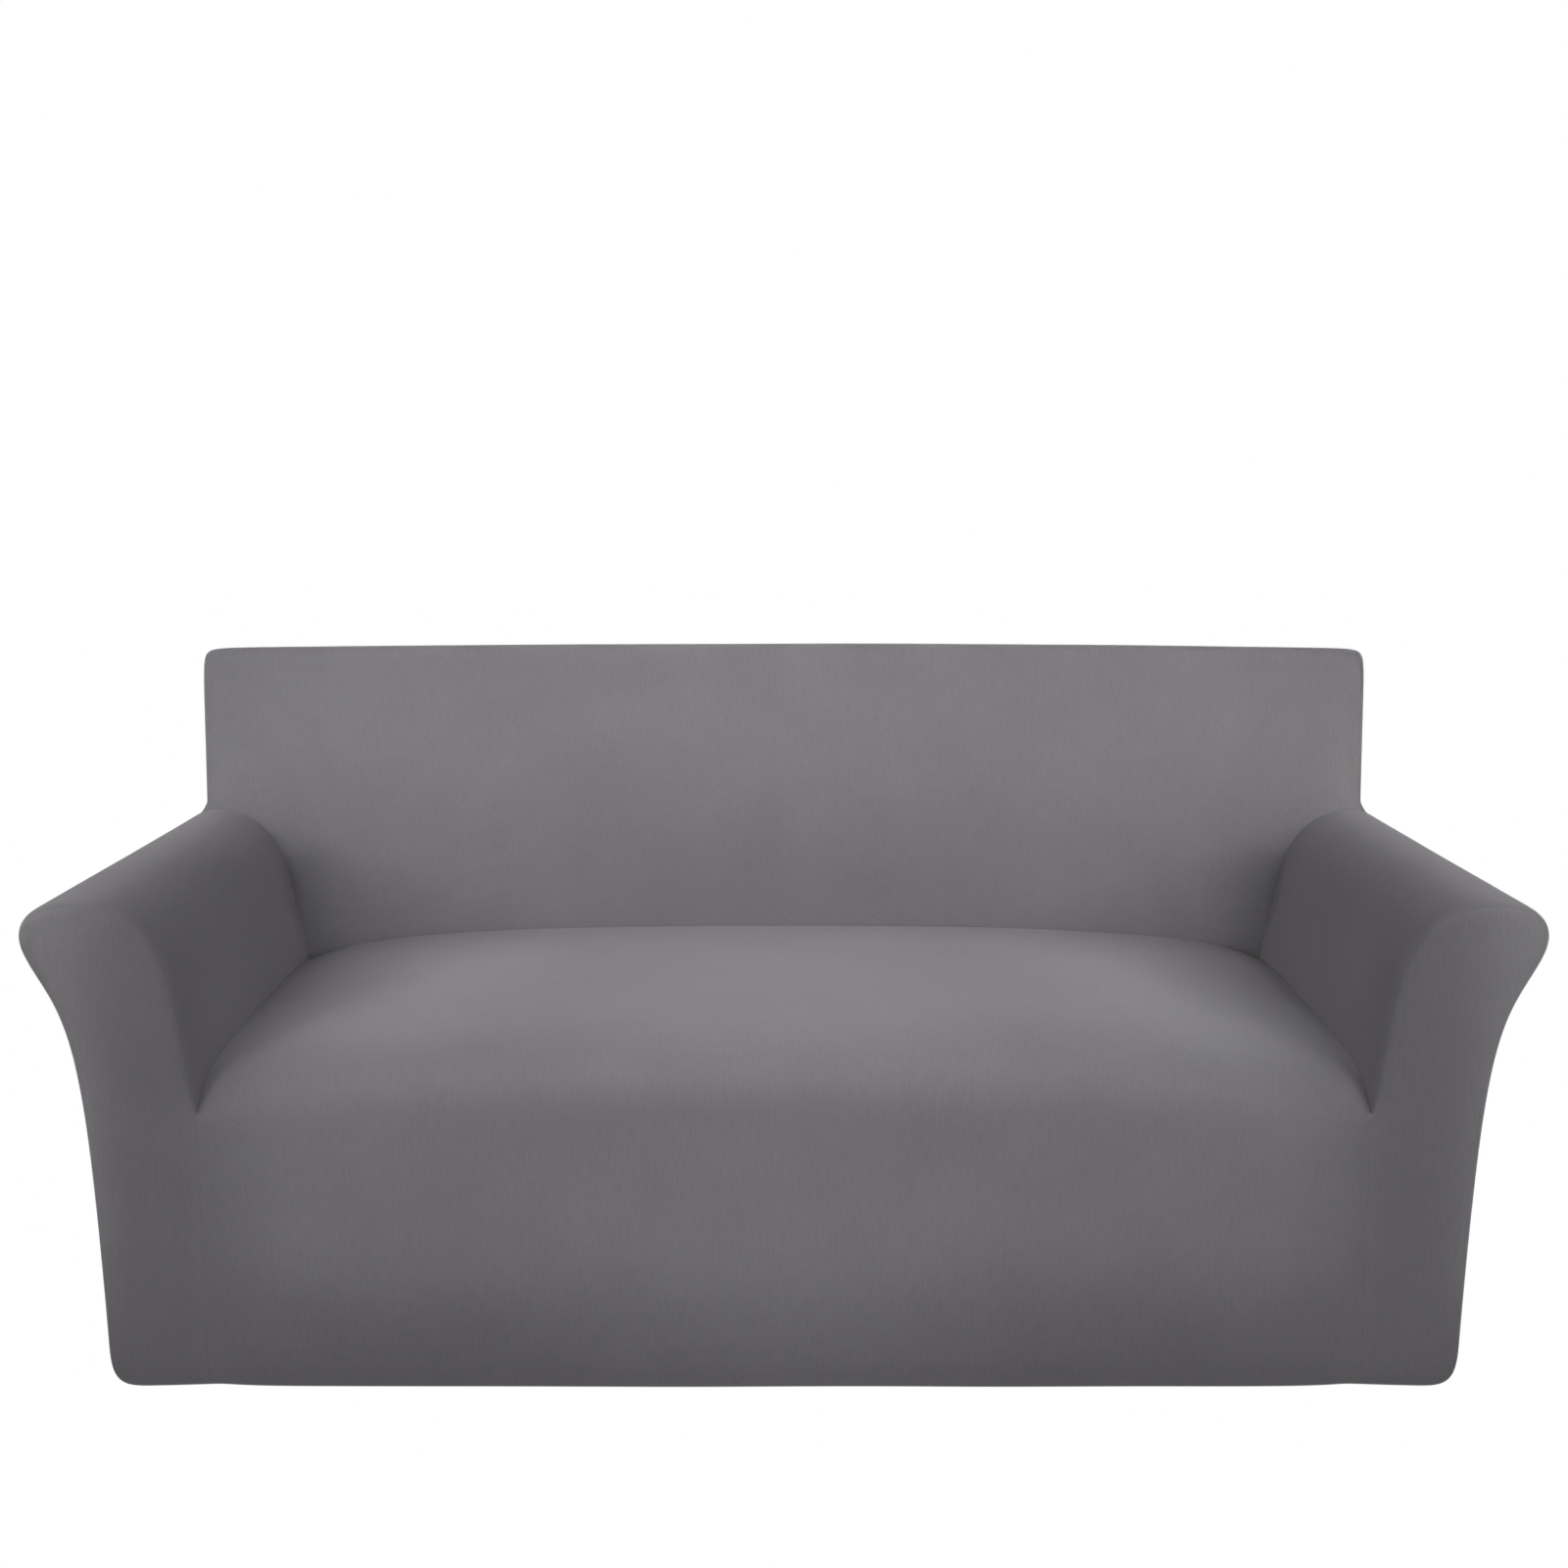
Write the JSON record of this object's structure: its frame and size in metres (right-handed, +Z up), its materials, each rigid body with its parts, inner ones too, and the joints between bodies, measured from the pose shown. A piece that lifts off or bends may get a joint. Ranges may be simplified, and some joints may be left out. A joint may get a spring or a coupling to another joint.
{
  "type": "fitted stretch sofa slipcover",
  "caption": "Fitted stretch knit cover for a straight sofa with flared arms: smooth seat, back and skirt over a hollow, with a gathered elastic hem turned under.",
  "frame": {"origin": "middle of the cover's footprint, at the floor under its hem", "axes": "+X along the sofa's width to the sitter's left, +Y from the front skirt towards the outside back, +Z up. Left and right in the names are as seen from the front, so a left panel lies at -X."},
  "size_m": [2.013, 0.9546, 0.955],
  "materials": {
    "stretch_knit": "matt fine-gauge stretch knit, mid grey"
  },
  "bodies": {
    "root": {"seat_front": "stretch_knit", "inside_back": "stretch_knit", "outside_back": "stretch_knit", "arm_left": "stretch_knit", "arm_right": "stretch_knit", "arm_front_left": "stretch_knit", "arm_front_right": "stretch_knit"}
  },
  "joints": []
}
